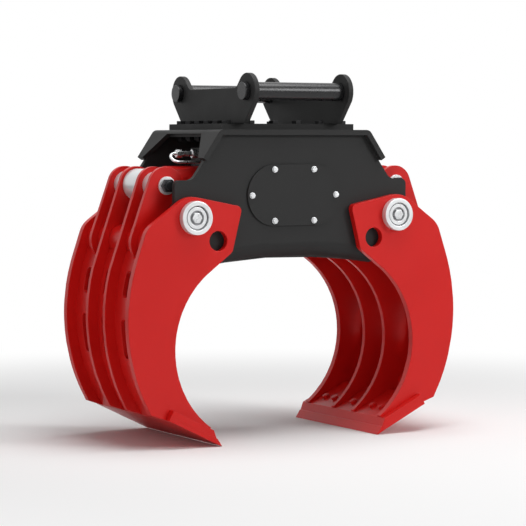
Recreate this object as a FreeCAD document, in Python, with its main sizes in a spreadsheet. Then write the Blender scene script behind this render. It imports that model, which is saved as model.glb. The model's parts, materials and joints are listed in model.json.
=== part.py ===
import FreeCAD, Part
import math
import os
import re
import Sketcher
from FreeCAD import Placement, Rotation, Vector

# Two-claw log grapple with a pin-on bracket.
# X runs across the opening, Y through the depth (front is -Y), Z up.
# The origin lies on the ground under the middle of the grapple; the cutting edges touch Z = 0.
# Heights named ...Rise are measured from the claw pivots, other heights from the ground.

SIZES = {
    # claw pivots
    "pivotSpan": 388.0,          # half the distance between the two pivots
    "pivotHeight": 751.0,
    "pivotPinRadius": 40.0,
    "runningGap": 0.05,          # radial clearance of a turning or sliding fit
    "seatGap": 0.1,              # radial clearance of parts that are welded or seated
    # claw plates
    "outerFace": 253.0,          # half width over the outer plates
    "outerPlate": 25.0,
    "innerPlate": 18.0,
    "midPlateOffset": 66.0,
    "lugPlateOffset": 152.0,
    # outer plate head, measured from the pivot
    "noseTopReach": 178.0,
    "noseTopRise": 34.0,
    "noseTopRound": 18.0,
    "noseLowReach": 141.0,
    "noseLowDrop": 115.0,
    "noseLowRound": 30.0,
    "crownReach": 25.0,
    "crownRise": 74.0,
    "crownRound": 88.0,
    "shoulderReach": 172.0,
    "shoulderDrop": 33.0,
    "shoulderRound": 80.0,
    # grip curve on the inside of the claw and back curve on the outside; reaches are from the pivot
    "gripCentreReach": 247.5,
    "backRadius": 608.0,
    "backTopDrop": 31.0,
    "heelReach": 159.12,
    "heelHeight": 114.0,
    # toe
    "tipReach": 88.0,
    "toeAngle": 26.2,
    "toeLength": 216.0,
    "toeHalfWidth": 278.0,
    "edgeThickness": 16.0,
    "edgeBevel": 27.0,
    "toeThickness": 20.0,
    "toeLedge": 4.0,
    "toeBevel": 21.0,
    # bolts of the cutting edge
    "edgeBoltRadius": 8.0,
    "edgeBoltHead": 15.0,
    "edgeNutFlats": 24.0,
    "edgeNutHeight": 10.0,
    "edgeBoltAlong": 104.0,
    "edgeBoltNear": 128.0,
    "edgeBoltFar": 188.0,
    # lock hole in the outer plates
    "lockReach": 88.0,
    "lockDrop": 77.0,
    "lockRadius": 33.0,
    # cylinder lug
    "lugReach": 57.0,
    "lugRise": 104.0,
    "lugRadius": 62.0,
    "lugPinRadius": 25.0,
    "lugSpacerRadius": 45.0,
    "lugWasherRadius": 30.0,
    "lugWasherThickness": 8.0,
    "lugNutFlats": 41.0,
    "lugNutHeight": 16.0,
    "lugStudRadius": 14.0,
    "lugStudOut": 6.0,
    # torque tube
    "tubeReach": 107.0,
    "tubeDrop": 83.0,
    "tubeRadius": 55.5,
    "tubeWall": 10.0,
    # web panels
    "webInset": 36.0,
    "webThickness": 12.0,
    "windowWidth": 56.0,
    "windowRound": 14.0,
    # window heights, measured from the middle of the back curve
    "upperWindowLow": 72.0,
    "upperWindowHigh": 160.0,
    "lowerWindowLow": -127.0,
    "lowerWindowHigh": 3.0,
    # claw hub
    "ringRadius": 55.5,
    "ringProud": 24.0,
    "sleeveRadius": 50.0,
    "pinSunk": 15.5,
    "capRadius": 36.0,
    "capBore": 24.5,
    "capThickness": 10.0,
    "pivotBoltFlats": 32.0,
    "pivotBoltHead": 12.5,
    "midPlateAngle": 60.0,
    # frame shell
    "frameFace": 225.0,
    "sidePlate": 20.0,
    "bottomPlate": 16.0,
    "bendRadius": 60.0,
    "archMidDrop": 140.0,
    "archEndDrop": 167.0,
    "archEndInset": 63.0,         # insets are from the pivot towards the middle
    "armEndReach": 58.0,
    "armTopRise": 122.0,
    "armRootInset": 7.0,
    "armRootRound": 34.0,
    "cheekReach": 12.0,
    "cheekDrop": 75.0,
    "cheekRound": 40.0,
    "armLowDrop": 20.0,
    "flankLowInset": 41.0,
    "flankLowRise": 169.0,
    "flankTopInset": 110.0,
    "sideTopRise": 270.0,
    "bottomSlotInset": 153.0,
    "bottomSlotHalf": 174.0,
    # inspection covers
    "coverHalfLength": 75.6,
    "coverRadius": 102.0,
    "coverThickness": 6.0,
    "coverRise": 70.0,
    "coverBoltCircle": 85.7,
    "coverHoleRadius": 70.0,
    "coverBoltRadius": 6.0,
    "coverHeadRadius": 10.5,
    "coverHeadFlats": 16.0,
    "coverHeadHeight": 8.0,
    "coverFlange": 2.0,
    # hubs of the frame
    "bossRadius": 60.0,
    "bossInner": 168.0,
    "bushRadius": 50.0,
    # deck
    "deckThickness": 18.0,
    "deckHalfY": 245.0,
    "hornFootRise": 195.0,
    "hornWindowTop": 275.0,
    "hornTopGap": 126.0,
    "hornFootGap": 206.0,
    # base and flange plates
    "baseHalfX": 254.0,
    "baseHalfY": 193.0,
    "baseThickness": 20.0,
    "flangeBoltX": 222.0,
    "flangeBoltY": 165.0,
    "flangeBoltRadius": 10.0,
    "flangeHeadFlats": 30.0,
    "flangeHeadHeight": 11.0,
    "flangeNutHeight": 16.0,
    "flangeBoltOut": 5.0,
    # bracket ears and hitch pins
    "earInner": 171.0,
    "earThickness": 18.0,
    "hitchHalfPitch": 240.0,
    "hitchRise": 415.0,
    "hitchPinRadius": 30.0,
    "hitchPinOut": 18.0,
    "lobeRadius": 60.0,
    "earFootHalf": 226.0,
    "saddleHalf": 168.0,
    "saddleRise": 427.0,
    "saddleRound": 30.0,
    # stiffener in the frame
    "crossTubeRadius": 30.0,
    "crossTubeDrop": 48.0,
    # cylinder
    "eyeRadius": 54.0,
    "eyeHalfWidth": 54.0,
    "neckHalfWidth": 34.0,
    "barrelRadius": 62.5,
    "boreRadius": 52.0,
    "barrelStart": 74.0,
    "barrelLength": 536.0,
    "headThickness": 24.0,
    "glandLength": 62.0,
    "glandOut": 14.0,
    "rodRadius": 32.0,
    "rodLength": 534.0,
    "pistonLength": 48.0,
    "rodEyeNeck": 30.0,
    # valve block and pipes on the barrel
    "blockStart": 195.0,
    "blockLength": 62.0,
    "blockHalfWidth": 36.0,
    "blockTop": 124.0,
    "unionLength": 84.0,
    "unionFlats": 27.0,
    "pipeRadius": 5.0,
    "pipeLowRise": 76.0,
    "pipeHighRise": 104.0,
    "pipeSide": 14.0,
    "pipeReturn": 48.0,
    "fittingRadius": 9.0,
}

doc = FreeCAD.newDocument("log_grapple")
sheet = doc.addObject("Spreadsheet::Sheet", "Sizes")
for row, (alias, value) in enumerate(SIZES.items(), start=1):
    sheet.set("A%d" % row, alias)
    sheet.set("B%d" % row, str(value))
    sheet.setAlias("B%d" % row, alias)
doc.recompute()

nodes = []


def size(name):
    return float(sheet.get(name))


def formula(text):
    return re.sub(r"[a-z]\w+", lambda m: "Sizes." + m[0] if m[0] in SIZES else m[0], text)


def bind(thing, **formulas):
    for key, text in formulas.items():
        thing.setExpression(key.replace("_", "."), formula(text))


def keep(thing, label):
    thing.Label = label
    nodes.append(thing)
    return thing


# ---- plane geometry -------------------------------------------------------------------------

def unit(dx, dz):
    length = math.hypot(dx, dz)
    return dx / length, dz / length


def onCircle(centre, radius, degrees):
    angle = math.radians(degrees)
    return centre[0] + radius * math.cos(angle), centre[1] + radius * math.sin(angle)


def angleOf(centre, point):
    return math.degrees(math.atan2(point[1] - centre[1], point[0] - centre[0]))


def tangentPoint(point, centre, radius, side):
    """Touch point of the tangent from a point to a circle."""
    distance = math.hypot(point[0] - centre[0], point[1] - centre[1])
    opening = math.degrees(math.acos(radius / distance))
    return onCircle(centre, radius, angleOf(centre, point) + side * opening)


def commonTangent(centreA, radiusA, centreB, radiusB):
    """Touch points of the outer tangent that lies on the right of two circles, seen from B to A."""
    distance = math.hypot(centreA[0] - centreB[0], centreA[1] - centreB[1])
    opening = math.degrees(math.acos((radiusB - radiusA) / distance))
    normal = angleOf(centreB, centreA) - opening
    return onCircle(centreA, radiusA, normal), onCircle(centreB, radiusB, normal)


def circleMeetsLine(centre, radius, point, direction):
    """Far crossing of a line with a circle, along the direction of the line."""
    dx, dz = unit(*direction)
    fx, fz = point[0] - centre[0], point[1] - centre[1]
    half = fx * dx + fz * dz
    reach = -half + math.sqrt(half * half - (fx * fx + fz * fz - radius * radius))
    return point[0] + reach * dx, point[1] + reach * dz


def corner(point, rounding=0.0, arc=None):
    """One corner of a loop; arc is (centre, turn) of the curve that leaves it, turn +1 or -1."""
    return {"at": point, "round": rounding, "arc": arc}


def trimmed(corners, index):
    """Where the edges before and after a rounded corner end, and the centre of its rounding."""
    at = corners[index]["at"]
    rounding = corners[index]["round"]
    before = corners[index - 1]["at"]
    after = corners[(index + 1) % len(corners)]["at"]
    ax, az = unit(before[0] - at[0], before[1] - at[1])
    bx, bz = unit(after[0] - at[0], after[1] - at[1])
    half = math.acos(max(-1.0, min(1.0, ax * bx + az * bz))) / 2
    back = rounding / math.tan(half)
    mx, mz = unit(ax + bx, az + bz)
    middle = rounding / math.sin(half)
    turn = 1 if ax * bz - az * bx < 0 else -1
    centre = (at[0] + middle * mx, at[1] + middle * mz)
    return (at[0] + back * ax, at[1] + back * az), (at[0] + back * bx, at[1] + back * bz), centre, turn


def arcCurve(centre, start, end, turn):
    if turn < 0:
        start, end = end, start
    radius = math.hypot(start[0] - centre[0], start[1] - centre[1])
    first = math.radians(angleOf(centre, start))
    last = math.radians(angleOf(centre, end))
    if last <= first:
        last += 2 * math.pi
    circle = Part.Circle(Vector(centre[0], centre[1], 0), Vector(0, 0, 1), radius)
    return Part.ArcOfCircle(circle, first, last)


def loopCurves(corners):
    """Lines and arcs of a closed loop of corners."""
    curves = []
    leave = []
    arrive = []
    for index, item in enumerate(corners):
        if item["round"] > 0:
            inward, outward, centre, turn = trimmed(corners, index)
            curves.append(arcCurve(centre, inward, outward, turn))
            arrive.append(inward)
            leave.append(outward)
        else:
            arrive.append(item["at"])
            leave.append(item["at"])
    for index, item in enumerate(corners):
        start = leave[index]
        end = arrive[(index + 1) % len(corners)]
        if item["arc"]:
            curves.append(arcCurve(item["arc"][0], start, end, item["arc"][1]))
        else:
            curves.append(Part.LineSegment(Vector(start[0], start[1], 0), Vector(end[0], end[1], 0)))
    return curves


# ---- building blocks ------------------------------------------------------------------------

def plane(body, role):
    return [item for item in body.Origin.OriginFeatures if item.Role == role][0]


def plateBody(name, loops, holes, start, thickness, role="XZ_Plane"):
    """A flat plate: loops and round holes drawn on an origin plane, padded from start by thickness.
    On XZ_Plane the pad grows towards -Y, on YZ_Plane towards +X, on XY_Plane towards +Z."""
    body = doc.addObject("PartDesign::Body", name)
    sketch = body.newObject("Sketcher::SketchObject", name + "_outline")
    sketch.AttachmentSupport = (plane(body, role), [""])
    sketch.MapMode = "FlatFace"
    bind(sketch, AttachmentOffset_Base_z=start)
    for corners in loops:
        for curve in loopCurves(corners):
            sketch.addGeometry(curve, False)
    for centre, radius in holes:
        value = sizeOf(radius)
        index = sketch.addGeometry(Part.Circle(Vector(centre[0], centre[1], 0), Vector(0, 0, 1), value), False)
        constraint = sketch.addConstraint(Sketcher.Constraint("Radius", index, value))
        sketch.setExpression("Constraints[%d]" % constraint, formula(radius))
    pad = body.newObject("PartDesign::Pad", name + "_pad")
    pad.Profile = sketch
    bind(pad, Length=thickness)
    return body


def sizeOf(text):
    """Value of a formula of sizes: sums and differences of names and numbers."""
    total = 0.0
    for sign, term in re.findall(r"([+-]?)\s*([\w.]+)", text):
        value = size(term) if term in SIZES else float(term)
        total += -value if sign == "-" else value
    return total


TURN_Y = Rotation(Vector(1, 0, 0), 90)      # local Z to -Y
TURN_X = Rotation(Vector(0, 1, 0), 90)      # local Z to +X
UPRIGHT = Rotation()


def place(thing, turn, x, y, z):
    thing.Placement = Placement(Vector(0, 0, 0), turn)
    bind(thing, Placement_Base_x=x, Placement_Base_y=y, Placement_Base_z=z)
    return thing


def rod(name, radius, length, turn, x, y, z):
    thing = doc.addObject("Part::Cylinder", name)
    bind(thing, Radius=radius, Height=length)
    return place(thing, turn, x, y, z)


def hexagon(name, flats, height, turn, x, y, z):
    thing = doc.addObject("Part::Prism", name)
    thing.Polygon = 6
    bind(thing, Circumradius="(%s) / sqrt(3)" % flats, Height=height)
    return place(thing, turn, x, y, z)


def block(name, length, width, height, x, y, z):
    thing = doc.addObject("Part::Box", name)
    bind(thing, Length=length, Width=width, Height=height)
    return place(thing, UPRIGHT, x, y, z)


def cut(name, base, tool):
    thing = doc.addObject("Part::Cut", name)
    thing.Base = base
    thing.Tool = tool
    return thing


def fuse(name, parts):
    thing = doc.addObject("Part::MultiFuse", name)
    thing.Shapes = parts
    return thing


def group(name, parts):
    thing = doc.addObject("Part::Compound", name)
    thing.Links = parts
    return thing


def mirrored(source, name, normal):
    thing = doc.addObject("Part::Mirroring", name)
    thing.Source = source
    thing.Normal = normal
    thing.Base = Vector(0, 0, 0)
    return thing


ACROSS = Vector(1, 0, 0)
THROUGH = Vector(0, 1, 0)

# ---- claw, drawn for the right side ---------------------------------------------------------

pivot = (size("pivotSpan"), size("pivotHeight"))
lug = (pivot[0] + size("lugReach"), pivot[1] + size("lugRise"))
tube = (pivot[0] + size("tubeReach"), pivot[1] - size("tubeDrop"))
gripRadius = (pivot[1] - size("noseLowDrop")) / 2
grip = (pivot[0] - size("gripCentreReach"), gripRadius)
backMiddle = (pivot[1] - size("backTopDrop") + size("heelHeight")) / 2
backSpan = math.sqrt(size("backRadius") ** 2 - (backMiddle - size("heelHeight")) ** 2)
heel = (pivot[0] + size("heelReach"), size("heelHeight"))
back = (heel[0] - backSpan, backMiddle)
tilt = math.radians(size("toeAngle"))
toeTop = size("edgeThickness") + size("toeThickness")


def toe(along, up):
    """Point of the toe, measured from the tip along the slope and square to it."""
    x = pivot[0] - size("tipReach") + along * math.cos(tilt) - up * math.sin(tilt)
    z = along * math.sin(tilt) + up * math.cos(tilt)
    return x, z


def onBack(x, z, dx, dz, radius):
    return circleMeetsLine(back, radius, (x, z), (dx, dz))


noseFoot = size("edgeBevel") + size("toeLedge") + size("toeBevel")
noseRise = circleMeetsLine(grip, gripRadius, toe(noseFoot, toeTop), (math.sin(tilt), -math.cos(tilt)))
toeSeat = [
    corner(heel),
    corner(toe(size("toeLength"), 0.0)),
    corner(toe(size("toeLength"), toeTop)),
    corner(toe(noseFoot, toeTop)),
    corner(noseRise, arc=(grip, 1)),
]


def outerPlateLoop():
    shoulder = (pivot[0] + size("shoulderReach"), pivot[1] - size("shoulderDrop"))
    noseLow = (pivot[0] - size("noseLowReach"), pivot[1] - size("noseLowDrop"))
    noseTop = (pivot[0] - size("noseTopReach"), pivot[1] + size("noseTopRise"))
    crown = (pivot[0] + size("crownReach"), pivot[1] + size("crownRise"))
    backTouch = tangentPoint(shoulder, back, size("backRadius"), -1)
    gripTouch = tangentPoint(noseLow, grip, gripRadius, -1)
    return [
        corner(noseTop, size("noseTopRound")),
        corner(crown, size("crownRound")),
        corner(shoulder, size("shoulderRound")),
        corner(backTouch, arc=(back, -1)),
        *toeSeat,
        corner(gripTouch),
        corner(noseLow, size("noseLowRound")),
    ]


hubReach = math.hypot(size("lugReach"), size("lugRise")) - size("lugRadius")
hubMeetsLug = onCircle(pivot, hubReach, angleOf(pivot, lug))


def midPlateLoop():
    lugTouch, backTouch = commonTangent(lug, size("lugRadius"), back, size("backRadius"))
    gripEnd = onCircle(grip, gripRadius, size("midPlateAngle"))
    hubTouch = tangentPoint(gripEnd, pivot, hubReach, 1)
    return [
        corner(lugTouch),
        corner(backTouch, arc=(back, -1)),
        *toeSeat,
        corner(gripEnd),
        corner(hubTouch, arc=(pivot, 1)),
        corner(hubMeetsLug, arc=(lug, -1)),
    ]


def lugPlateLoop():
    lobe = math.hypot(size("tubeReach"), size("tubeDrop")) - hubReach
    hubMeetsTube = onCircle(pivot, hubReach, angleOf(pivot, tube))
    lugTouch, lobeTouch = commonTangent(lug, size("lugRadius"), tube, lobe)
    return [
        corner(lugTouch),
        corner(lobeTouch, arc=(tube, -1)),
        corner(hubMeetsTube, arc=(pivot, 1)),
        corner(hubMeetsLug, arc=(lug, -1)),
    ]


lugHole = (lug, "lugPinRadius + seatGap")
tubeHole = (tube, "tubeRadius + seatGap")
lockHole = ((pivot[0] - size("lockReach"), pivot[1] - size("lockDrop")), "lockRadius")
sleeveHole = (pivot, "sleeveRadius + seatGap")

outerPlate = plateBody("outerPlateFrontRight", [outerPlateLoop()], [lockHole, sleeveHole],
                       "outerFace - outerPlate", "outerPlate")
midPlate = plateBody("midPlateFrontRight", [midPlateLoop()], [lugHole, tubeHole],
                     "midPlateOffset - innerPlate / 2", "innerPlate")
lugPlate = plateBody("lugPlateFrontRight", [lugPlateLoop()], [lugHole, tubeHole],
                     "lugPlateOffset - innerPlate / 2", "innerPlate")

PX = "pivotSpan"
PZ = "pivotHeight"
LX = "pivotSpan + lugReach"
LZ = "pivotHeight + lugRise"
TX = "pivotSpan + tubeReach"
TZ = "pivotHeight - tubeDrop"


def through(name, radius, half, x, z):
    """A round bar along Y, centred on the middle plane."""
    return rod(name, radius, "2 * (%s)" % half, TURN_Y, x, half, z)


torqueTube = cut("torqueTubeRight",
                 through("torqueTubeSkin", "tubeRadius", "outerFace - outerPlate", TX, TZ),
                 through("torqueTubeBore", "tubeRadius - tubeWall", "outerFace + 1", TX, TZ))

# web panels between the plates, each with an upper and a lower window
webOuter = size("backRadius") - size("webInset")
webInner = webOuter - size("webThickness")
webTop = math.degrees(math.asin((tube[1] - back[1]) / webOuter))
rearRun = (math.sin(tilt), -math.cos(tilt))
rearHigh = toe(size("toeLength"), toeTop)
webLoop = [
    corner(onCircle(back, webInner, webTop)),
    corner(onCircle(back, webOuter, webTop), arc=(back, -1)),
    corner(onBack(*rearHigh, *rearRun, webOuter)),
    corner(onBack(*rearHigh, *rearRun, webInner), arc=(back, 1)),
]
midInside = "(midPlateOffset - innerPlate / 2)"
midOutside = "(midPlateOffset + innerPlate / 2)"
claddingInside = "(outerFace - outerPlate)"


def windowTool(name, middle, low, high):
    halfWidth = size("windowWidth") / 2
    rounding = size("windowRound")
    loop = [
        corner((middle - halfWidth, back[1] + size(low)), rounding),
        corner((middle + halfWidth, back[1] + size(low)), rounding),
        corner((middle + halfWidth, back[1] + size(high)), rounding),
        corner((middle - halfWidth, back[1] + size(high)), rounding),
    ]
    return plateBody(name, [loop], [], "pivotSpan", "backRadius", "YZ_Plane")


bayMiddle = (size("midPlateOffset") + size("innerPlate") / 2 + size("outerFace") - size("outerPlate")) / 2
bays = [
    ("Front", claddingInside + " - " + midOutside, midOutside, -bayMiddle),
    ("Middle", "2 * " + midInside, "-" + midInside, 0.0),
    ("Rear", claddingInside + " - " + midOutside, "-" + claddingInside, bayMiddle),
]
webs = []
webTube = through("webTubeTool", "tubeRadius", "outerFace", TX, TZ)
lugPlateRear = mirrored(lugPlate, "lugPlateRearRight", THROUGH)
for bay, width, start, middle in bays:
    strip = plateBody("webStrip" + bay, [webLoop], [], start, width)
    upper = windowTool("windowUpper" + bay, middle, "upperWindowLow", "upperWindowHigh")
    lower = windowTool("windowLower" + bay, middle, "lowerWindowLow", "lowerWindowHigh")
    webs.append(cut("webPanel" + bay, strip, group("webTools" + bay, [upper, lower, webTube, lugPlate, lugPlateRear])))

# toe plate and bolted cutting edge
edgeLoop = [
    corner(toe(0.0, 0.0)),
    corner(toe(size("toeLength"), 0.0)),
    corner(toe(size("toeLength"), size("edgeThickness"))),
    corner(toe(size("edgeBevel"), size("edgeThickness"))),
]
toeLoop = [
    corner(toe(size("edgeBevel") + size("toeLedge"), size("edgeThickness"))),
    corner(toe(size("toeLength"), size("edgeThickness"))),
    corner(toe(size("toeLength"), toeTop)),
    corner(toe(noseFoot, toeTop)),
]
edgeBlank = plateBody("cuttingEdgeBlank", [edgeLoop], [], "-toeHalfWidth", "2 * toeHalfWidth")
toeBlank = plateBody("toePlateBlank", [toeLoop], [], "-toeHalfWidth", "2 * toeHalfWidth")
TILT = Rotation(Vector(0, 1, 0), -size("toeAngle"))


def toeBase(up):
    x = "pivotSpan - tipReach + edgeBoltAlong * cos(toeAngle) - (%s) * sin(toeAngle)" % up
    z = "edgeBoltAlong * sin(toeAngle) + (%s) * cos(toeAngle)" % up
    return x, z


def toeRod(name, radius, length, y, up):
    x, z = toeBase(up)
    return rod(name, radius, length, TILT, x, y, z)


edgeBolts = []
edgeHoles = []
boltRows = ["-edgeBoltFar", "-edgeBoltNear", "0", "edgeBoltNear", "edgeBoltFar"]
for index, y in enumerate(boltRows):
    stem = "edgeBolt%d" % index
    head = toeRod(stem + "Head", "edgeBoltHead", "edgeThickness / 2", y, "0")
    shank = toeRod(stem + "Shank", "edgeBoltRadius", "edgeThickness + toeThickness + edgeNutHeight + 2", y, "0")
    nutX, nutZ = toeBase("edgeThickness + toeThickness")
    nut = hexagon(stem + "Nut", "edgeNutFlats", "edgeNutHeight", TILT, nutX, y, nutZ)
    edgeBolts.append(fuse(stem, [head, shank, nut]))
    edgeHoles.append(toeRod(stem + "Sink", "edgeBoltHead + seatGap", "edgeThickness / 2", y, "0"))
    edgeHoles.append(toeRod(stem + "Hole", "edgeBoltRadius + seatGap", "edgeThickness + toeThickness", y, "0"))
edgeTools = group("edgeTools", edgeHoles)
cuttingEdge = cut("cuttingEdgeRight", edgeBlank, edgeTools)
toePlate = cut("toePlateRight", toeBlank, edgeTools)
edgeBoltSet = group("edgeBoltsRight", edgeBolts)

# hub ring with its sleeve, pivot pin and its bolt, at the front
hubSkin = fuse("hubSkin", [
    rod("hubFlange", "ringRadius", "ringProud", TURN_Y, PX, "-outerFace", PZ),
    rod("hubSleeve", "sleeveRadius", "outerPlate", TURN_Y, PX, "outerPlate - outerFace", PZ),
])
hubRing = cut("hubRingFront", hubSkin,
              rod("hubBore", "pivotPinRadius + seatGap", "outerPlate + ringProud + 2", TURN_Y,
                  PX, "outerPlate - outerFace + 1", PZ))
pivotPin = rod("pivotPinFront", "pivotPinRadius", "outerFace + ringProud - pinSunk - bossInner",
               TURN_Y, PX, "-bossInner", PZ)
pivotBolt = hexagon("pivotBoltFront", "pivotBoltFlats", "pivotBoltHead", TURN_Y,
                    PX, "pinSunk - outerFace - ringProud", PZ)

pinCap = cut("pinCapFront",
             rod("pinCapBlank", "capRadius", "capThickness", TURN_Y, PX, "pinSunk - outerFace - ringProud", PZ),
             rod("pinCapBore", "capBore", "capThickness + 2", TURN_Y, PX, "pinSunk - outerFace - ringProud + 1", PZ))

# cylinder lug pin with spacers, washers and nuts
lugEnd = "(lugPlateOffset + innerPlate / 2)"
lugPin = through("lugPinRight", "lugPinRadius", lugEnd, LX, LZ)
spacerSkin = rod("spacerSkin", "lugSpacerRadius", "lugPlateOffset - midPlateOffset - innerPlate",
                 TURN_Y, LX, "-" + midOutside, LZ)
lugSpacer = cut("lugSpacerFront", spacerSkin, through("spacerBore", "lugPinRadius + seatGap", lugEnd, LX, LZ))
lugWasher = rod("lugWasherFront", "lugWasherRadius", "lugWasherThickness", TURN_Y, LX, "-" + lugEnd, LZ)
nutSeat = "-%s - lugWasherThickness" % lugEnd
lugNut = fuse("lugNutFront", [
    hexagon("lugNutHex", "lugNutFlats", "lugNutHeight", TURN_Y, LX, nutSeat, LZ),
    rod("lugNutStud", "lugStudRadius", "lugNutHeight + lugStudOut", TURN_Y, LX, nutSeat, LZ),
])


def both(source, name):
    """A front part and its rear twin as one piece set."""
    return group(name, [source, mirrored(source, name + "Rear", THROUGH)])


rightPieces = [
    ("outer_plate_front", outerPlate),
    ("outer_plate_rear", mirrored(outerPlate, "outerPlateRearRight", THROUGH)),
    ("mid_plate_front", midPlate),
    ("mid_plate_rear", mirrored(midPlate, "midPlateRearRight", THROUGH)),
    ("lug_plates", group("lugPlatesRight", [lugPlate, lugPlateRear])),
    ("torque_tube", torqueTube),
    ("web_panels", group("webPanelsRight", webs)),
    ("toe_plate", toePlate),
    ("cutting_edge", cuttingEdge),
    ("edge_bolts", edgeBoltSet),
    ("hub_rings", both(hubRing, "hubRingsRight")),
    ("pivot_pins", both(pivotPin, "pivotPinsRight")),
    ("pin_caps", both(pinCap, "pinCapsRight")),
    ("pivot_bolts", both(pivotBolt, "pivotBoltsRight")),
    ("lug_pin", lugPin),
    ("lug_spacers", both(lugSpacer, "lugSpacersRight")),
    ("lug_washers", both(lugWasher, "lugWashersRight")),
    ("lug_nuts", both(lugNut, "lugNutsRight")),
]
for stem, piece in rightPieces:
    keep(piece, stem + "_right")
    keep(mirrored(piece, stem + "LeftCopy", ACROSS), stem + "_left")

# ---- frame ----------------------------------------------------------------------------------

archHalf = pivot[0] - size("archEndInset")
archMid = pivot[1] - size("archMidDrop")
archEnd = pivot[1] - size("archEndDrop")
sagitta = archMid - archEnd
archRadius = (archHalf ** 2 + sagitta ** 2) / (2 * sagitta)
archCentre = (0.0, archMid - archRadius)


def sideLoop(raise_bottom, top):
    """Outline of the frame seen from the front; the bottom may be raised for the inside."""
    radius = archRadius + raise_bottom
    end = (archHalf, archCentre[1] + math.sqrt(radius ** 2 - archHalf ** 2))
    armEnd = pivot[0] + size("armEndReach")
    armTop = pivot[1] + size("armTopRise")
    flank = (pivot[0] - size("flankLowInset"), pivot[1] + size("flankLowRise"))
    right = [
        corner((pivot[0] - size("flankTopInset"), top)),
        corner(flank),
        corner((pivot[0] - size("armRootInset"), armTop), size("armRootRound")),
        corner((armEnd, armTop), size("noseTopRound")),
        corner((armEnd, pivot[1] - size("armLowDrop")), size("noseTopRound")),
        corner((pivot[0] + size("cheekReach"), pivot[1] - size("cheekDrop")), size("cheekRound")),
    ]
    left = [corner((-item["at"][0], item["at"][1]), item["round"]) for item in reversed(right)]
    return right + [corner(end, arc=(archCentre, 1)), corner((-end[0], end[1]))] + left


def bottomEdges(shape, y):
    """Numbers of the long curved edges along the bottom at a given depth."""
    found = []
    for number, edge in enumerate(shape.Edges, start=1):
        box = edge.BoundBox
        if abs(abs(edge.CenterOfMass.y) - y) < 0.1 and box.YLength < 0.1 and box.XLength > archHalf:
            if box.ZMax < pivot[1]:
                found.append(number)
    return found


sideTop = pivot[1] + size("sideTopRise")
outside = plateBody("shellOutside", [sideLoop(0.0, sideTop)], [], "-frameFace", "2 * frameFace")
inside = plateBody("shellInside", [sideLoop(size("bottomPlate"), sideTop)], [],
                   "sidePlate - frameFace", "2 * (frameFace - sidePlate)")
doc.recompute()


def bend(name, source, y, rounding):
    thing = doc.addObject("Part::Fillet", name)
    thing.Base = source
    thing.Edges = [(number, rounding, rounding) for number in bottomEdges(source.Shape, y)]
    return thing


shellBent = bend("shellBent", outside, size("frameFace"), size("bendRadius"))
insideBent = bend("insideBent", inside, size("frameFace") - size("sidePlate"),
                  size("bendRadius") - size("bottomPlate"))
endSlots = [
    block("endSlot" + side, "pivotSpan", "2 * bottomSlotHalf", "armTopRise + archEndDrop", x, "-bottomSlotHalf",
          "pivotHeight - archEndDrop - 10")
    for side, x in (("Right", "pivotSpan - bottomSlotInset"), ("Left", "bottomSlotInset - 2 * pivotSpan"))
]
ends = [
    rod("hubHole" + side, "bossRadius + seatGap", "2 * frameFace + 2", TURN_Y, x, "frameFace + 1", PZ)
    for side, x in (("Right", PX), ("Left", "-" + PX))
]


def stadium(name, radius, start, thickness):
    """An oblong plate round the middle of the side."""
    half = size("coverHalfLength")
    middle = pivot[1] + size("coverRise")
    reach = size(radius)
    loop = [
        corner((-half, middle - reach)),
        corner((half, middle - reach), arc=((half, middle), 1)),
        corner((half, middle + reach)),
        corner((-half, middle + reach), arc=((-half, middle), 1)),
    ]
    return plateBody(name, [loop], [], start, thickness)


coverHole = stadium("coverHole", "coverHoleRadius", "-frameFace - 1", "2 * frameFace + 2")


def coverBoltSpots():
    spots = []
    for side in ("", "-"):
        spots.append((side + "(coverHalfLength + coverBoltCircle)", "pivotHeight + coverRise"))
        for way in ("+", "-"):
            spots.append((side + "coverHalfLength", "pivotHeight + coverRise %s coverBoltCircle" % way))
    return spots


coverBoltHoles = [
    rod("coverBoltHole%d" % index, "coverBoltRadius + seatGap", "2 * (frameFace + coverThickness)", TURN_Y,
        x, "frameFace + coverThickness", z)
    for index, (x, z) in enumerate(coverBoltSpots())
]
boltTools = group("coverBoltTools", coverBoltHoles)
shellCutters = [insideBent, coverHole, *coverBoltHoles, *endSlots, *ends]
shell = cut("frameShell", shellBent, fuse("shellCutter", shellCutters))
keep(shell, "frame_shell")

cover = cut("coverFront", stadium("coverBlank", "coverRadius", "frameFace", "coverThickness"), boltTools)
keep(cover, "side_cover_front")
keep(mirrored(cover, "coverRear", THROUGH), "side_cover_rear")
coverBolts = []
for index, (x, z) in enumerate(coverBoltSpots()):
    stem = "coverBolt%d" % index
    face = "-frameFace - coverThickness"
    coverBolts.append(fuse(stem, [
        rod(stem + "Shank", "coverBoltRadius", "sidePlate + coverThickness", TURN_Y, x, "sidePlate - frameFace", z),
        rod(stem + "Flange", "coverHeadRadius", "coverFlange", TURN_Y, x, face, z),
        hexagon(stem + "Head", "coverHeadFlats", "coverHeadHeight", TURN_Y, x, face, z),
    ]))
keep(both(group("coverBoltsFront", coverBolts), "coverBoltSet"), "cover_bolts")

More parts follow.
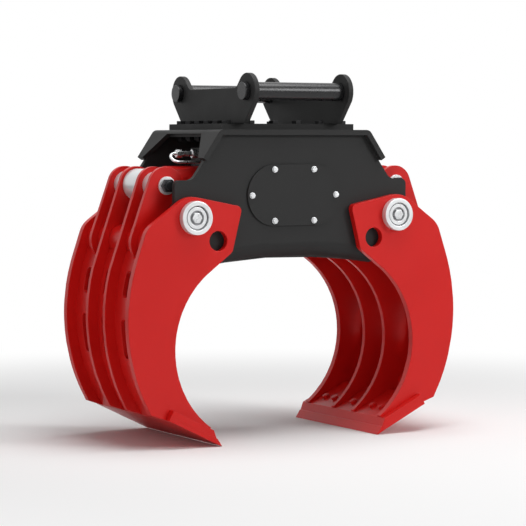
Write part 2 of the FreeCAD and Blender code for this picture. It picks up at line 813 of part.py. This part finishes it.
bossBlank = rod("bossBlank", "bossRadius", "frameFace - bossInner", TURN_Y, PX, "-bossInner", PZ)
bushHole = rod("bushHole", "bushRadius + seatGap", "frameFace", TURN_Y, PX, "-bossInner + 1", PZ)
boss = cut("bossFront", bossBlank, bushHole)
bushBlank = rod("bushBlank", "bushRadius", "frameFace - bossInner + 2.5", TURN_Y, PX, "-bossInner", PZ)
bushBore = rod("bushBore", "pivotPinRadius + runningGap", "frameFace", TURN_Y, PX, "-bossInner + 1", PZ)
bush = cut("bushFront", bushBlank, bushBore)
for piece, label in ((boss, "hub_bosses"), (bush, "hub_bushes")):
    rightPair = both(piece, label + "Right")
    keep(group(label + "Set", [rightPair, mirrored(rightPair, label + "Left", ACROSS)]), label)

crossTube = cut("crossTube",
                through("crossTubeSkin", "crossTubeRadius", "frameFace - sidePlate", "0", "pivotHeight - crossTubeDrop"),
                through("crossTubeBore", "crossTubeRadius - 8", "frameFace", "0", "pivotHeight - crossTubeDrop"))
keep(crossTube, "cross_tube")

# ---- deck, base plate and bracket -----------------------------------------------------------

deckTop = sideTop + size("deckThickness")
flankTop = (pivot[0] - size("flankTopInset"), sideTop)
flankLow = (pivot[0] - size("flankLowInset"), pivot[1] + size("flankLowRise"))
downX, downZ = unit(flankLow[0] - flankTop[0], flankLow[1] - flankTop[1])


def onFlank(offset, height):
    """Point at a height on a line parallel to the sloping flank of the frame."""
    x0 = flankTop[0] - downZ * offset
    z0 = flankTop[1] + downX * offset
    return x0 + (height - z0) * downX / downZ, height


footHeight = pivot[1] + size("hornFootRise")
outerFoot = onFlank(size("deckThickness"), footHeight)
innerFoot = (outerFoot[0] + downZ * size("deckThickness"), outerFoot[1] - downX * size("deckThickness"))
deckRight = [
    corner(onFlank(size("deckThickness"), deckTop), size("deckThickness") * 1.3),
    corner(outerFoot),
    corner(innerFoot),
    corner(flankTop),
]
deckLoop = deckRight + [corner((-item["at"][0], item["at"][1]), item["round"]) for item in reversed(deckRight)]
deckBlank = plateBody("deckBlank", [deckLoop], [], "-deckHalfY", "2 * deckHalfY")
slope = (size("hornFootGap") - size("hornTopGap")) / (size("hornWindowTop") - size("hornFootRise"))
belowFoot = 40.0
footGap = size("hornFootGap") + slope * belowFoot
hornWindow = [
    corner((-size("hornTopGap"), pivot[1] + size("hornWindowTop"))),
    corner((size("hornTopGap"), pivot[1] + size("hornWindowTop"))),
    corner((footGap, footHeight - belowFoot)),
    corner((-footGap, footHeight - belowFoot)),
]
windowRight = plateBody("hornWindowRight", [hornWindow], [], "pivotSpan - flankTopInset + 4", "pivotSpan", "YZ_Plane")
windowLeft = mirrored(windowRight, "hornWindowLeft", ACROSS)

longRow = [-1.0, -0.6, -0.2, 0.2, 0.6, 1.0]
shortRow = [-0.6, -0.2, 0.2, 0.6]
flangeSpots = [("%.1f * flangeBoltX" % share, side + "flangeBoltY") for side in ("-", "") for share in longRow]
flangeSpots += [(side + "flangeBoltX", "%.1f * flangeBoltY" % share) for side in ("-", "") for share in shortRow]
deckTopAt = "pivotHeight + sideTopRise + deckThickness"
baseTopAt = deckTopAt + " + baseThickness"
flangeBolts = []
flangeHoles = []
underDeck = deckTopAt + " - deckThickness"
for index, (x, y) in enumerate(flangeSpots):
    stem = "flangeBolt%d" % index
    flangeBolts.append(fuse(stem, [
        hexagon(stem + "Head", "flangeHeadFlats", "flangeHeadHeight", UPRIGHT, x, y, baseTopAt),
        rod(stem + "Shank", "flangeBoltRadius",
            "baseThickness + deckThickness + flangeNutHeight + flangeBoltOut + flangeHeadHeight / 2", UPRIGHT,
            x, y, underDeck + " - flangeNutHeight - flangeBoltOut"),
        hexagon(stem + "Nut", "flangeHeadFlats", "flangeNutHeight", UPRIGHT, x, y, underDeck + " - flangeNutHeight"),
    ]))
    flangeHoles.append(rod(stem + "Hole", "flangeBoltRadius + seatGap", "3 * baseThickness", UPRIGHT,
                           x, y, underDeck))
flangeTools = group("flangeTools", flangeHoles)
deck = cut("deckPlate", deckBlank, fuse("deckCutter", [windowRight, windowLeft, *flangeHoles]))
keep(deck, "deck_plate")
base = cut("basePlate", block("baseBlank", "2 * baseHalfX", "2 * baseHalfY", "baseThickness",
                              "-baseHalfX", "-baseHalfY", deckTopAt), flangeTools)
keep(base, "base_plate")
keep(group("flangeBoltSet", flangeBolts), "flange_bolts")


def earLoop():
    foot = (size("earFootHalf"), deckTop + size("baseThickness"))
    centre = (size("hitchHalfPitch"), pivot[1] + size("hitchRise"))
    saddle = (size("saddleHalf"), pivot[1] + size("saddleRise"))
    radius = size("lobeRadius")
    low = tangentPoint(foot, centre, radius, 1)
    high = tangentPoint(saddle, centre, radius, -1)
    opposite = (-centre[0], centre[1])
    return [
        corner(foot),
        corner(low, arc=(centre, 1)),
        corner(high),
        corner(saddle, size("saddleRound")),
        corner((-saddle[0], saddle[1]), size("saddleRound")),
        corner((-high[0], high[1]), arc=(opposite, 1)),
        corner((-low[0], low[1])),
        corner((-foot[0], foot[1])),
    ]


hitchHeight = pivot[1] + size("hitchRise")
earHoles = [((side * size("hitchHalfPitch"), hitchHeight), "hitchPinRadius + seatGap") for side in (-1, 1)]
ear = plateBody("earRight", [earLoop()], earHoles, "earInner", "earThickness", "YZ_Plane")
keep(ear, "ear_right")
keep(mirrored(ear, "earLeft", ACROSS), "ear_left")
pinEnd = "(earInner + earThickness + hitchPinOut)"
keep(group("hitchPins", [
    rod("hitchPin" + side, "hitchPinRadius", "2 * " + pinEnd, TURN_X, "-" + pinEnd, y, "pivotHeight + hitchRise")
    for side, y in (("Front", "-hitchHalfPitch"), ("Rear", "hitchHalfPitch"))
]), "coupler_pins")

# ---- cylinder across the two lugs -----------------------------------------------------------

LEFT = "-(pivotSpan + lugReach)"
barrelX = LEFT + " + barrelStart"
barrelEnd = barrelX + " + barrelLength"


def along(name, radius, length, x):
    return rod(name, radius, length, TURN_X, x, "0", LZ)


barrel = cut("barrel", along("barrelSkin", "barrelRadius", "barrelLength", barrelX),
             along("barrelBore", "boreRadius", "barrelLength", barrelX + " + headThickness"))
keep(barrel, "cylinder_barrel")


def eyePiece(stem, x, neckX, neckLength, neckRadius):
    eye = rod(stem + "Ring", "eyeRadius", "2 * eyeHalfWidth", TURN_Y, x, "eyeHalfWidth", LZ)
    neck = along(stem + "Neck", neckRadius, neckLength, neckX)
    pinHole = rod(stem + "Bore", "lugPinRadius + runningGap", "2 * eyeHalfWidth + 2", TURN_Y,
                  x, "eyeHalfWidth + 1", LZ)
    return cut(stem, fuse(stem + "Solid", [eye, neck]), pinHole)


keep(eyePiece("barrelEye", LEFT, LEFT + " + 30", "barrelStart - 30", "neckHalfWidth"), "barrel_eye")
gland = cut("gland", fuse("glandSolid", [
    along("glandPlug", "boreRadius - seatGap", "glandLength", barrelEnd + " - glandLength"),
    along("glandCap", "barrelRadius", "glandOut", barrelEnd),
]), along("glandBore", "rodRadius + runningGap", "2 * glandLength", barrelEnd + " - glandLength - 1"))
keep(gland, "cylinder_gland")

rodEnd = LX + " - eyeRadius - rodEyeNeck"
rodStart = rodEnd + " + 10 - rodLength"
pistonRod = along("pistonRod", "rodRadius", "rodLength", rodStart)
keep(pistonRod, "piston_rod")
piston = cut("piston", along("pistonSkin", "boreRadius - runningGap", "pistonLength", rodStart),
             along("pistonBore", "rodRadius + seatGap", "pistonLength + 2", rodStart + " - 1"))
keep(piston, "piston")
rodEyeSolid = eyePiece("rodEyeBlank", LX, rodEnd, "eyeRadius + rodEyeNeck - 30", "rodRadius + 12")
rodEye = cut("rodEye", rodEyeSolid, along("rodSocket", "rodRadius + seatGap", "11", rodEnd + " - 1"))
keep(rodEye, "rod_eye")

blockX = LEFT + " + blockStart"
valveBlock = cut("valveBlock",
                 block("valveBlank", "blockLength", "2 * blockHalfWidth", "blockTop - barrelRadius / 2",
                       blockX, "-blockHalfWidth", LZ + " + barrelRadius / 2"),
                 along("valveSaddle", "barrelRadius", "2 * blockLength", blockX + " - 10"))
keep(valveBlock, "valve_block")
blockPipe = LZ + " + pipeHighRise"
unionParts = [
    hexagon("unionNut", "unionFlats", "unionLength * 0.3", TURN_X, blockX + " - unionLength * 0.3",
            "-pipeSide", blockPipe),
    rod("unionTube", "fittingRadius", "unionLength * 0.45", TURN_X, blockX + " - unionLength * 0.75",
        "-pipeSide", blockPipe),
    hexagon("unionEnd", "unionFlats - 4", "unionLength * 0.25", TURN_X, blockX + " - unionLength",
            "-pipeSide", blockPipe),
]
portX = blockX + " + blockLength / 3"
port = cut("portBoss", rod("portBlank", "fittingRadius + 3", "pipeLowRise + pipeRadius", UPRIGHT,
                           portX, "-pipeReturn", LZ + " + pipeRadius"),
           along("portSaddle", "barrelRadius", "2 * blockLength", blockX + " - 10"))
fittingSet = group("fittingSet", [fuse("pipeUnion", unionParts), port])
keep(fittingSet, "port_fittings")
turnSpan = "sqrt((pipeHighRise - pipeLowRise) ^ 2 + (pipeReturn - pipeSide) ^ 2)"
turnPipe = doc.addObject("Part::Torus", "pipeTurn")
bind(turnPipe, Radius1=turnSpan + " / 2", Radius2="pipeRadius")
turnPipe.Angle3 = 180
lean = math.degrees(math.atan2(size("pipeReturn") - size("pipeSide"), size("pipeHighRise") - size("pipeLowRise")))
turnPipe.Placement = Placement(Vector(0, 0, 0), Rotation(Vector(1, 0, 0), 90 - lean) * Rotation(Vector(0, 0, 1), 90))
bendX = blockX + " - unionLength - 4"
bind(turnPipe, Placement_Base_x=bendX, Placement_Base_y="-(pipeSide + pipeReturn) / 2",
     Placement_Base_z="%s + (pipeHighRise + pipeLowRise) / 2" % LZ)
pipes = fuse("pipeSolid", [
    turnPipe,
    rod("pipeHigh", "pipeRadius", "4", TURN_X, bendX, "-pipeSide", blockPipe),
    rod("pipeLow", "pipeRadius", "unionLength + 4 + blockLength / 3", TURN_X, bendX, "-pipeReturn",
        LZ + " + pipeLowRise"),
])
keep(cut("oilPipes", pipes, port), "oil_pipes")

# ---- checks and files -----------------------------------------------------------------------

doc.recompute()
for thing in doc.Objects:
    for state in ("Invalid", "Error"):
        if state in thing.State:
            raise RuntimeError("%s is %s" % (thing.Name, state))
for thing in nodes:
    if thing.Shape.isNull() or not thing.Shape.isValid():
        raise RuntimeError("%s has no valid shape" % thing.Label)

os.makedirs("parts", exist_ok=True)
for thing in nodes:
    thing.Shape.exportStep("parts/%s.step" % thing.Label)
print("pieces", len(nodes))
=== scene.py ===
import json
import math

import bpy
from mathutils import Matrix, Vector

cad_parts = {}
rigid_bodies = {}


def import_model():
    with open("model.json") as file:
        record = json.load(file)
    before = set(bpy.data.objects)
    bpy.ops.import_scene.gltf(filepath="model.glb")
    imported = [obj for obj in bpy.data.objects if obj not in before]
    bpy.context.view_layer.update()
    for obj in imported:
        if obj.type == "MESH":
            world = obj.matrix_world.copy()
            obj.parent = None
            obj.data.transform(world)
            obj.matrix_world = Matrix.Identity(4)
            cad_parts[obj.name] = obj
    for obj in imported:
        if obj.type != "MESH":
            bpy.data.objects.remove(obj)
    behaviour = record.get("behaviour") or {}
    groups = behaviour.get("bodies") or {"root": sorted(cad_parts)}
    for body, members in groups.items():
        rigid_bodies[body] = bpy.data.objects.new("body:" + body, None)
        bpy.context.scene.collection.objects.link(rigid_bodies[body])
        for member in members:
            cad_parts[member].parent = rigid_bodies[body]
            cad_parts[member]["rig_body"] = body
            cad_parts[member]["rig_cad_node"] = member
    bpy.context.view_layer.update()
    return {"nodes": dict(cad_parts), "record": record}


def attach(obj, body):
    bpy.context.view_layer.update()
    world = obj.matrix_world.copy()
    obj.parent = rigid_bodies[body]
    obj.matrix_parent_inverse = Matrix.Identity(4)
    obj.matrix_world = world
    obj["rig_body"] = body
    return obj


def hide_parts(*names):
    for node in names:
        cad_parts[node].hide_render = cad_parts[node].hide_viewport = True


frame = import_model()
nodes = frame["nodes"]
bodyOf = {name: node.parent.name.split(":")[1] for name, node in nodes.items()}
scene = bpy.context.scene
print("frame loaded,", len(nodes), "CAD nodes")

# camera, world and lamps

view = {
    "place": (-3.723, -6.665, 0.9975),
    "target": (0.0087, 0.0, 0.5818),
    "lens": 152.0,
    "sensor": 36.0,
    "farEnd": 60.0,
}


def aim(thing, target):
    thing.rotation_euler = (Vector(target) - thing.location).to_track_quat("-Z", "Y").to_euler()


def makeCamera():
    bpy.ops.object.camera_add(location=view["place"])
    camera = bpy.context.object
    camera.name = "viewCamera"
    camera.data.lens = view["lens"]
    camera.data.sensor_width = view["sensor"]
    camera.data.clip_end = view["farEnd"]
    aim(camera, view["target"])
    scene.camera = camera


lamps = {
    "topLamp": {"place": (0.4, -0.6, 4.6), "size": 3.4, "power": 150.0, "target": (0.0, 0.0, 0.4)},
    "keyLamp": {"place": (3.6, -5.4, 3.2), "size": 2.6, "power": 150.0, "target": (0.1, 0.0, 0.6)},
    "sideLamp": {"place": (-5.6, -3.4, 2.2), "size": 2.4, "power": 26.0, "target": (-0.3, 0.0, 0.6)},
}


def makeLamps():
    for name, spec in lamps.items():
        bpy.ops.object.light_add(type="AREA", location=spec["place"])
        lamp = bpy.context.object
        lamp.name = name
        lamp.data.shape = "DISK"
        lamp.data.size = spec["size"]
        lamp.data.energy = spec["power"]
        aim(lamp, spec["target"])


# the floor lies just under the toes and fades into the white backdrop
studio = {
    "fill": 0.24, "floorSize": 40.0, "floorDrop": 0.0005, "floorTone": 0.93,
    "fadeStart": 1.2, "fadeEnd": 3.2,
}
plainWhite = (1.0, 1.0, 1.0, 1.0)


def makeWorld():
    world = bpy.data.worlds.new("studioWorld")
    scene.world = world
    world.use_nodes = True
    tree = world.node_tree
    tree.nodes.clear()
    path = tree.nodes.new("ShaderNodeLightPath")
    seen = tree.nodes.new("ShaderNodeMath")
    seen.operation = "MAXIMUM"
    shine = tree.nodes.new("ShaderNodeMath")
    shine.operation = "MAXIMUM"
    tree.links.new(path.outputs["Is Transmission Ray"], shine.inputs[0])
    tree.links.new(path.outputs["Is Glossy Ray"], shine.inputs[1])
    tree.links.new(path.outputs["Is Camera Ray"], seen.inputs[0])
    tree.links.new(shine.outputs[0], seen.inputs[1])
    soft = tree.nodes.new("ShaderNodeBackground")
    soft.inputs["Color"].default_value = plainWhite
    soft.inputs["Strength"].default_value = studio["fill"]
    white = tree.nodes.new("ShaderNodeBackground")
    white.inputs["Color"].default_value = plainWhite
    mix = tree.nodes.new("ShaderNodeMixShader")
    out = tree.nodes.new("ShaderNodeOutputWorld")
    tree.links.new(seen.outputs[0], mix.inputs["Fac"])
    tree.links.new(soft.outputs[0], mix.inputs[1])
    tree.links.new(white.outputs[0], mix.inputs[2])
    tree.links.new(mix.outputs[0], out.inputs["Surface"])
    scene.view_settings.view_transform = "Standard"


def makeFloor():
    bpy.ops.mesh.primitive_plane_add(size=studio["floorSize"], location=(0.0, 0.0, -studio["floorDrop"]))
    floor = bpy.context.object
    floor.name = "studioFloor"
    material = bpy.data.materials.new("paleFloor")
    material.use_nodes = True
    tree = material.node_tree
    tree.nodes.clear()
    coord = tree.nodes.new("ShaderNodeTexCoord")
    length = tree.nodes.new("ShaderNodeVectorMath")
    length.operation = "LENGTH"
    fade = tree.nodes.new("ShaderNodeMapRange")
    fade.interpolation_type = "SMOOTHSTEP"
    fade.inputs["From Min"].default_value = studio["fadeStart"]
    fade.inputs["From Max"].default_value = studio["fadeEnd"]
    path = tree.nodes.new("ShaderNodeLightPath")
    share = tree.nodes.new("ShaderNodeMath")
    share.operation = "MULTIPLY"
    paint = tree.nodes.new("ShaderNodeBsdfDiffuse")
    paint.inputs["Color"].default_value = (*[studio["floorTone"]] * 3, 1.0)
    glow = tree.nodes.new("ShaderNodeEmission")
    mix = tree.nodes.new("ShaderNodeMixShader")
    out = tree.nodes.new("ShaderNodeOutputMaterial")
    tree.links.new(coord.outputs["Object"], length.inputs[0])
    tree.links.new(length.outputs["Value"], fade.inputs["Value"])
    tree.links.new(fade.outputs["Result"], share.inputs[0])
    tree.links.new(path.outputs["Is Camera Ray"], share.inputs[1])
    tree.links.new(share.outputs[0], mix.inputs["Fac"])
    tree.links.new(paint.outputs[0], mix.inputs[1])
    tree.links.new(glow.outputs[0], mix.inputs[2])
    tree.links.new(mix.outputs[0], out.inputs["Surface"])
    floor.data.materials.append(material)


makeCamera()
makeWorld()
makeFloor()
makeLamps()
print("camera, world, floor and lamps placed")

# finishes

finishes = {
    "clawPaint": {
        "slot": "claw_paint", "color": (0.64, 0.0090, 0.0070), "deep": (0.57, 0.0075, 0.0060),
        "metallic": 0.0, "rough": (0.30, 0.38), "level": 0.28, "cloud": 5.0, "grain": 900.0, "bump": 0.02,
    },
    "framePaint": {
        "slot": "frame_paint", "color": (0.024, 0.024, 0.024), "deep": (0.020, 0.020, 0.020),
        "metallic": 0.0, "rough": (0.50, 0.60), "level": 0.18, "cloud": 6.0, "grain": 700.0, "bump": 0.03,
    },
    "bareRing": {
        "slot": "bare_ring", "color": (0.80, 0.81, 0.82), "deep": (0.72, 0.73, 0.74),
        "metallic": 0.5, "rough": (0.26, 0.36), "level": 0.5, "cloud": 18.0, "grain": 1500.0, "bump": 0.015,
    },
    "pinSteel": {
        "slot": "pin_steel", "color": (0.34, 0.34, 0.35), "deep": (0.26, 0.26, 0.27),
        "metallic": 0.9, "rough": (0.30, 0.42), "level": 0.5, "cloud": 24.0, "grain": 1500.0, "bump": 0.015,
    },
    "brightZinc": {
        "slot": "zinc", "color": (0.78, 0.79, 0.80), "deep": (0.66, 0.67, 0.68),
        "metallic": 0.85, "rough": (0.22, 0.34), "level": 0.5, "cloud": 40.0, "grain": 2000.0, "bump": 0.01,
    },
    "darkZinc": {
        "slot": "dark_zinc", "color": (0.040, 0.042, 0.046), "deep": (0.028, 0.030, 0.034),
        "metallic": 0.6, "rough": (0.24, 0.34), "level": 0.4, "cloud": 40.0, "grain": 2000.0, "bump": 0.01,
    },
    "blackOxide": {
        "slot": "black_oxide", "color": (0.010, 0.010, 0.011), "deep": (0.007, 0.007, 0.008),
        "metallic": 0.2, "rough": (0.42, 0.55), "level": 0.3, "cloud": 30.0, "grain": 1500.0, "bump": 0.02,
    },
    "blackPin": {
        "slot": "black_pin", "color": (0.018, 0.018, 0.019), "deep": (0.013, 0.013, 0.014),
        "metallic": 0.3, "rough": (0.22, 0.30), "level": 0.5, "cloud": 20.0, "grain": 1500.0, "bump": 0.01,
    },
    "bushBronze": {
        "slot": "bronze", "color": (0.36, 0.24, 0.11), "deep": (0.26, 0.17, 0.08),
        "metallic": 0.8, "rough": (0.30, 0.42), "level": 0.5, "cloud": 30.0, "grain": 1500.0, "bump": 0.015,
    },
    "chromeRod": {
        "slot": "chrome_rod", "color": (0.80, 0.80, 0.81), "deep": (0.76, 0.76, 0.77),
        "metallic": 1.0, "rough": (0.07, 0.12), "level": 0.5, "cloud": 30.0, "grain": 1500.0, "bump": 0.004,
    },
}


# all finishes share how the noise is drawn: cloud for tone and gloss, grain for the bump
noise = {"cloudDetail": 4.0, "grainDetail": 2.0, "glossLow": 0.3, "glossHigh": 0.7, "bumpDepth": 0.001}


def makeFinish(name, spec):
    material = bpy.data.materials.new(name)
    material.use_nodes = True
    tree = material.node_tree
    shader = tree.nodes["Principled BSDF"]
    coord = tree.nodes.new("ShaderNodeTexCoord")
    cloud = tree.nodes.new("ShaderNodeTexNoise")
    cloud.inputs["Scale"].default_value = spec["cloud"]
    cloud.inputs["Detail"].default_value = noise["cloudDetail"]
    grain = tree.nodes.new("ShaderNodeTexNoise")
    grain.inputs["Scale"].default_value = spec["grain"]
    grain.inputs["Detail"].default_value = noise["grainDetail"]
    tone = tree.nodes.new("ShaderNodeMix")
    tone.data_type = "RGBA"
    tone.inputs["A"].default_value = (*spec["deep"], 1.0)
    tone.inputs["B"].default_value = (*spec["color"], 1.0)
    gloss = tree.nodes.new("ShaderNodeMapRange")
    gloss.inputs["From Min"].default_value = noise["glossLow"]
    gloss.inputs["From Max"].default_value = noise["glossHigh"]
    gloss.inputs["To Min"].default_value = spec["rough"][0]
    gloss.inputs["To Max"].default_value = spec["rough"][1]
    bump = tree.nodes.new("ShaderNodeBump")
    bump.inputs["Strength"].default_value = spec["bump"]
    bump.inputs["Distance"].default_value = noise["bumpDepth"]
    tree.links.new(coord.outputs["Object"], cloud.inputs["Vector"])
    tree.links.new(coord.outputs["Object"], grain.inputs["Vector"])
    tree.links.new(cloud.outputs["Fac"], tone.inputs["Factor"])
    tree.links.new(tone.outputs["Result"], shader.inputs["Base Color"])
    tree.links.new(cloud.outputs["Fac"], gloss.inputs["Value"])
    tree.links.new(gloss.outputs["Result"], shader.inputs["Roughness"])
    tree.links.new(grain.outputs["Fac"], bump.inputs["Height"])
    tree.links.new(bump.outputs["Normal"], shader.inputs["Normal"])
    shader.inputs["Metallic"].default_value = spec["metallic"]
    shader.inputs["Specular IOR Level"].default_value = spec["level"]
    return material


finish = {name: makeFinish(name, spec) for name, spec in finishes.items()}
finishOfSlot = {spec["slot"]: finish[name] for name, spec in finishes.items()}
slotOf = {item["node"]: item["material_slot"] for item in frame["record"]["subparts"]}
for name, node in nodes.items():
    node.data.materials.clear()
    node.data.materials.append(finishOfSlot[slotOf[name]])
print("finishes made:", len(finish))

# pieces with eased edges, made over the CAD nodes; widths in metres by the start of the node's name

easedEdges = {
    "pin_caps": 0.0016, "outer_plate_front": 0.0016, "outer_plate_rear": 0.0016,
    "mid_plate_front": 0.0014, "mid_plate_rear": 0.0014, "lug_plates": 0.0014,
    "torque_tube": 0.001, "web_panels": 0.001, "toe_plate": 0.001, "cutting_edge": 0.0008,
    "edge_bolts": 0.001, "hub_rings": 0.003, "pivot_pins": 0.002, "pivot_bolts": 0.0016,
    "lug_spacers": 0.0016, "lug_washers": 0.0014, "lug_nuts": 0.0014,
    "frame_shell": 0.0014, "deck_plate": 0.0014, "base_plate": 0.0012, "flange_bolts": 0.001,
    "ear": 0.0018, "coupler_pins": 0.002, "side_cover": 0.0012, "cover_bolts": 0.0008,
    "cylinder_barrel": 0.001, "barrel_eye": 0.0016, "cylinder_gland": 0.0016, "rod_eye": 0.0016,
    "valve_block": 0.002, "port_fittings": 0.0012, "hub_bosses": 0.001, "hub_bushes": 0.0006,
}
easing = {
    "mergeGap": 0.00002,
    "flatAngle": math.radians(3.0),
    "sharpAngle": math.radians(28.0),
    "smoothAngle": math.radians(32.0),
    "segments": 2,
    "normalWeight": 100,
}


def onlySelect(thing):
    bpy.ops.object.select_all(action="DESELECT")
    thing.select_set(True)
    bpy.context.view_layer.objects.active = thing


def easeNode(name, width):
    source = nodes[name]
    piece = source.copy()
    piece.data = source.data.copy()
    piece.name = "eased_" + name
    piece.parent = None
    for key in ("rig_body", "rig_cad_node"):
        if key in piece:
            del piece[key]
    scene.collection.objects.link(piece)
    onlySelect(piece)
    bpy.ops.object.mode_set(mode="EDIT")
    bpy.ops.mesh.select_all(action="SELECT")
    bpy.ops.mesh.remove_doubles(threshold=easing["mergeGap"])
    bpy.ops.mesh.dissolve_limited(angle_limit=easing["flatAngle"], delimit={"NORMAL"})
    bpy.ops.object.mode_set(mode="OBJECT")
    bevel = piece.modifiers.new("easedEdge", "BEVEL")
    bevel.width = width
    bevel.segments = easing["segments"]
    bevel.limit_method = "ANGLE"
    bevel.angle_limit = easing["sharpAngle"]
    bevel.use_clamp_overlap = True
    bevel.harden_normals = False
    bpy.ops.object.modifier_apply(modifier=bevel.name)
    bpy.ops.object.shade_smooth_by_angle(angle=easing["smoothAngle"])
    even = piece.modifiers.new("evenShade", "WEIGHTED_NORMAL")
    even.keep_sharp = True
    even.weight = easing["normalWeight"]
    bpy.ops.object.modifier_apply(modifier=even.name)
    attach(piece, bodyOf[name])
    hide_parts(name)


easedCount = 0
for name in sorted(nodes):
    for stem, width in easedEdges.items():
        if name.startswith(stem):
            easeNode(name, width)
            easedCount += 1
            break
print("eased pieces:", easedCount)

# end

print("scene set up")
